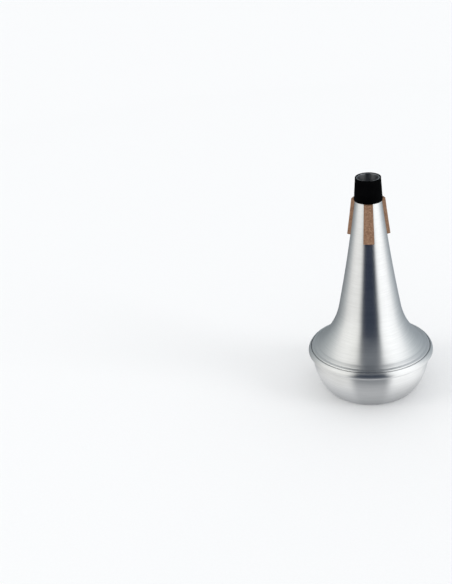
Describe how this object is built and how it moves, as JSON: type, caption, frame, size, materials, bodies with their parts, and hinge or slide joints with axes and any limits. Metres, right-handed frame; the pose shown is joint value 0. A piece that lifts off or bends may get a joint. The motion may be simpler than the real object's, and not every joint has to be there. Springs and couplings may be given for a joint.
{
  "type": "trombone straight mute",
  "caption": "Spun aluminium trombone straight mute with an open neck, a rubber neck sleeve, cork strips and a closed bowl joined by a rolled rim seam.",
  "frame": {"origin": "middle of the flat base disc, on the mute's axis", "axes": "+Z along the mute's axis from the base to the open neck, -Y towards the cork that faces the viewer"},
  "size_m": [0.142, 0.142, 0.2563],
  "materials": {
    "bowl_aluminium": "bare aluminium, finely brushed round the axis",
    "cone_aluminium": "bare aluminium, finely brushed round the axis",
    "sleeve_rubber": "matte black",
    "cork": "pressed cork with small dark grains, unsealed"
  },
  "bodies": {
    "root": {"bowl_shell": "bowl_aluminium", "cone_shell": "cone_aluminium", "neck_sleeve": "sleeve_rubber", "cork_front": "cork", "cork_right": "cork", "cork_left": "cork"}
  },
  "joints": []
}
